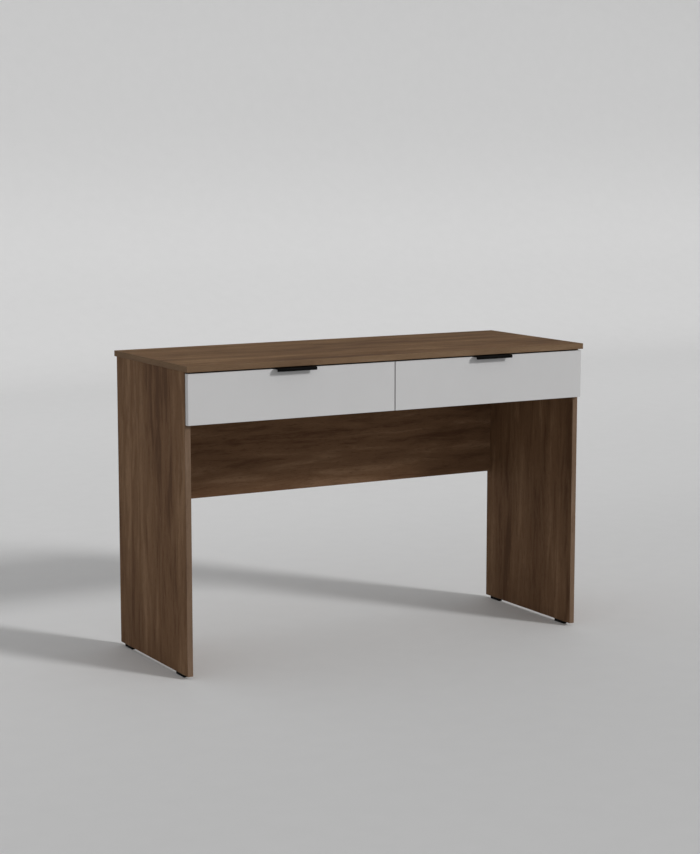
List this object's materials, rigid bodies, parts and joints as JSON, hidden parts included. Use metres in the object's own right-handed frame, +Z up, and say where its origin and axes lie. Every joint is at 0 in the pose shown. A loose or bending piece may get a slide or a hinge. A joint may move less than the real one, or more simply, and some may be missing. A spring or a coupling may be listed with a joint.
{
  "type": "console table",
  "caption": "Narrow console table: board legs and back under a flat top, with drawers on ball-bearing slides and black edge pulls.",
  "frame": {"origin": "on the floor, under the middle of the overall box, pulls included", "axes": "+X along the width towards the table's right end, +Y from the front to the back, +Z up"},
  "size_m": [1.18, 0.4654, 0.787],
  "materials": {
    "wood_board": "dark walnut foil on particle board, matt, fine straight grain",
    "edge_band": "walnut-printed plastic banding",
    "front_board": "matt off-white lacquer on fibreboard",
    "box_board": "pale foil on particle board",
    "box_base": "pale hardboard",
    "pull": "black powder coat, satin",
    "rail": "zinc-plated steel",
    "ball_strip": "bright steel balls in thin steel strips",
    "foot": "black moulded plastic",
    "cap": "brown moulded plastic",
    "dowel": "beech",
    "screw": "zinc-plated steel",
    "cam": null
  },
  "bodies": {
    "table_frame": {"top_panel": "wood_board", "top_panel_edge_bands": "edge_band", "left_side_panel": "wood_board", "left_side_panel_edge_bands": "edge_band", "right_side_panel": "wood_board", "right_side_panel_edge_bands": "edge_band", "back_panel": "wood_board", "back_panel_edge_band": "edge_band", "centre_divider": "wood_board", "centre_divider_edge_bands": "edge_band", "front_left_foot": "foot", "back_left_foot": "foot", "front_right_foot": "foot", "back_right_foot": "foot", "foot_nails": "screw", "cams": "cam", "cam_bolts": "screw", "cam_cover_caps": "cap", "dowels": "dowel", "outer_rail_screws": "screw", "left_drawer_left_outer_rail": "rail", "left_drawer_right_outer_rail": "rail", "right_drawer_left_outer_rail": "rail", "right_drawer_right_outer_rail": "rail"},
    "left_drawer": {"left_drawer_front": "front_board", "left_drawer_left_side": "box_board", "left_drawer_right_side": "box_board", "left_drawer_back": "box_board", "left_drawer_base": "box_base", "left_drawer_pull": "pull", "left_drawer_pull_screws": "screw", "left_drawer_cams": "cam", "left_drawer_cam_bolts": "screw", "left_drawer_box_screws": "screw", "left_drawer_left_inner_rail": "rail", "left_drawer_right_inner_rail": "rail", "left_drawer_rail_screws": "screw"},
    "left_drawer_middle_rails": {"left_drawer_left_middle_rail": "rail", "left_drawer_right_middle_rail": "rail"},
    "left_drawer_outer_ball_strips_body": {"left_drawer_outer_ball_strips": "ball_strip"},
    "left_drawer_inner_ball_strips_body": {"left_drawer_inner_ball_strips": "ball_strip"},
    "right_drawer": {"right_drawer_front": "front_board", "right_drawer_left_side": "box_board", "right_drawer_right_side": "box_board", "right_drawer_back": "box_board", "right_drawer_base": "box_base", "right_drawer_pull": "pull", "right_drawer_pull_screws": "screw", "right_drawer_cams": "cam", "right_drawer_cam_bolts": "screw", "right_drawer_box_screws": "screw", "right_drawer_left_inner_rail": "rail", "right_drawer_right_inner_rail": "rail", "right_drawer_rail_screws": "screw"},
    "right_drawer_middle_rails": {"right_drawer_left_middle_rail": "rail", "right_drawer_right_middle_rail": "rail"},
    "right_drawer_outer_ball_strips_body": {"right_drawer_outer_ball_strips": "ball_strip"},
    "right_drawer_inner_ball_strips_body": {"right_drawer_inner_ball_strips": "ball_strip"}
  },
  "joints": [
    {"name": "left_drawer_slide", "type": "slide", "parent": "table_frame", "child": "left_drawer", "axis": [0, -1, 0], "range_m": [0, 0.35]},
    {"name": "left_drawer_middle_rails_slide", "type": "slide", "parent": "table_frame", "child": "left_drawer_middle_rails", "axis": [0, -1, 0], "range_m": [0, 0.175]},
    {"name": "left_drawer_outer_ball_strips_slide", "type": "slide", "parent": "table_frame", "child": "left_drawer_outer_ball_strips_body", "axis": [0, -1, 0], "range_m": [0, 0.0875]},
    {"name": "left_drawer_inner_ball_strips_slide", "type": "slide", "parent": "table_frame", "child": "left_drawer_inner_ball_strips_body", "axis": [0, -1, 0], "range_m": [0, 0.2625]},
    {"name": "right_drawer_slide", "type": "slide", "parent": "table_frame", "child": "right_drawer", "axis": [0, -1, 0], "range_m": [0, 0.35]},
    {"name": "right_drawer_middle_rails_slide", "type": "slide", "parent": "table_frame", "child": "right_drawer_middle_rails", "axis": [0, -1, 0], "range_m": [0, 0.175]},
    {"name": "right_drawer_outer_ball_strips_slide", "type": "slide", "parent": "table_frame", "child": "right_drawer_outer_ball_strips_body", "axis": [0, -1, 0], "range_m": [0, 0.0875]},
    {"name": "right_drawer_inner_ball_strips_slide", "type": "slide", "parent": "table_frame", "child": "right_drawer_inner_ball_strips_body", "axis": [0, -1, 0], "range_m": [0, 0.2625]}
  ],
  "couplings": [
    {"joint": "left_drawer_middle_rails_slide", "follows": "left_drawer_slide", "ratio": 0.5},
    {"joint": "left_drawer_outer_ball_strips_slide", "follows": "left_drawer_slide", "ratio": 0.25},
    {"joint": "left_drawer_inner_ball_strips_slide", "follows": "left_drawer_slide", "ratio": 0.75},
    {"joint": "right_drawer_middle_rails_slide", "follows": "right_drawer_slide", "ratio": 0.5},
    {"joint": "right_drawer_outer_ball_strips_slide", "follows": "right_drawer_slide", "ratio": 0.25},
    {"joint": "right_drawer_inner_ball_strips_slide", "follows": "right_drawer_slide", "ratio": 0.75}
  ]
}
